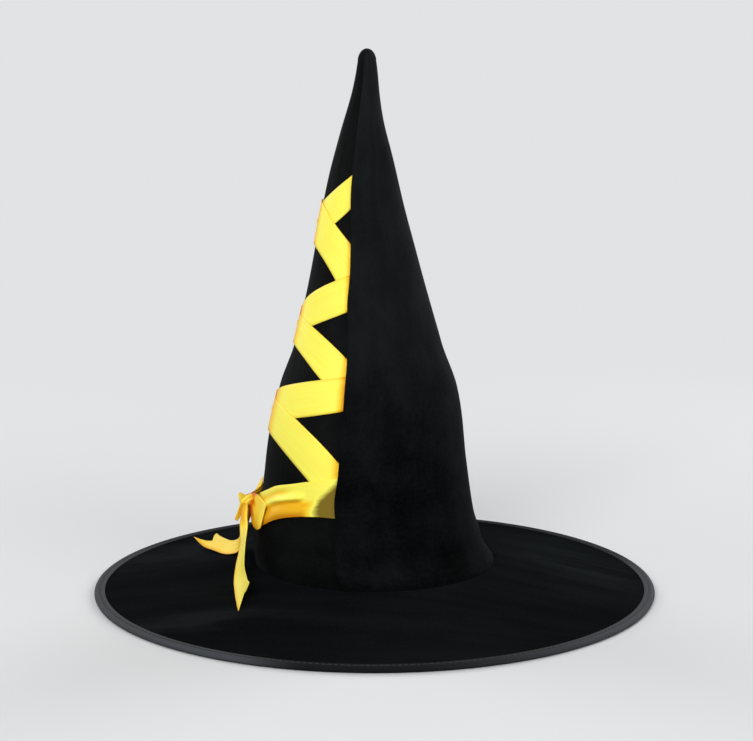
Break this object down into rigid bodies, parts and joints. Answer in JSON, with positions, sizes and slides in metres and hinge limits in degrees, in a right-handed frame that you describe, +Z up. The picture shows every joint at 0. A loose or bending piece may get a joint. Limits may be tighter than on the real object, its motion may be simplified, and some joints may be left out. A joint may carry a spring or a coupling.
{
  "type": "witch hat",
  "caption": "Tall pointed black velvet costume hat with a wide wired brim, bound edge and a yellow satin ribbon laced up one side into a small bow with loose tails.",
  "frame": {"origin": "centre of the brim in the plane under its edge, where the hat stands", "axes": "+Z up along the crown, -Y towards the side with the lapped hem, -X towards the bow"},
  "size_m": [0.3999, 0.4, 0.385],
  "materials": {
    "velvet": "short pile velvet",
    "interlining": "stiff non-woven sheet",
    "lining": "plain woven cloth",
    "head_band": "ribbed band",
    "dark_thread": "twisted thread",
    "yellow_thread": "twisted thread",
    "wire": "drawn spring wire",
    "ferrule": "plain tube",
    "tape": "woven satin tape",
    "satin": "smooth satin"
  },
  "bodies": {
    "hat": {"crown_wrap": "velvet", "crown_front_panel": "velvet", "crown_stiffener": "interlining", "crown_lining": "lining", "sweatband": "head_band", "sweatband_thread": "dark_thread", "brim_top": "velvet", "brim_core": "interlining", "brim_underside": "lining", "brim_wire": "wire", "wire_ferrule": "ferrule", "edge_binding": "tape", "binding_thread": "dark_thread", "lacing_ribbon": "satin", "fold_tacks": "yellow_thread", "knot_run": "satin", "bow_knot": "satin", "bow_loop_front": "satin", "bow_loop_back": "satin"},
    "front_end": {"tail_front": "satin"},
    "side_end": {"tail_side": "satin"}
  },
  "joints": [
    {"name": "front_end_lift", "type": "hinge", "parent": "hat", "child": "front_end", "pos_m": [-0.086, -0.00751, 0.06235], "axis": [-0.9986, -0.0523, 0], "range_deg": [0, 60]},
    {"name": "side_end_lift", "type": "hinge", "parent": "hat", "child": "side_end", "pos_m": [-0.08283, -0.00114, 0.06165], "axis": [0.891, 0.454, 0], "range_deg": [0, 25]}
  ]
}
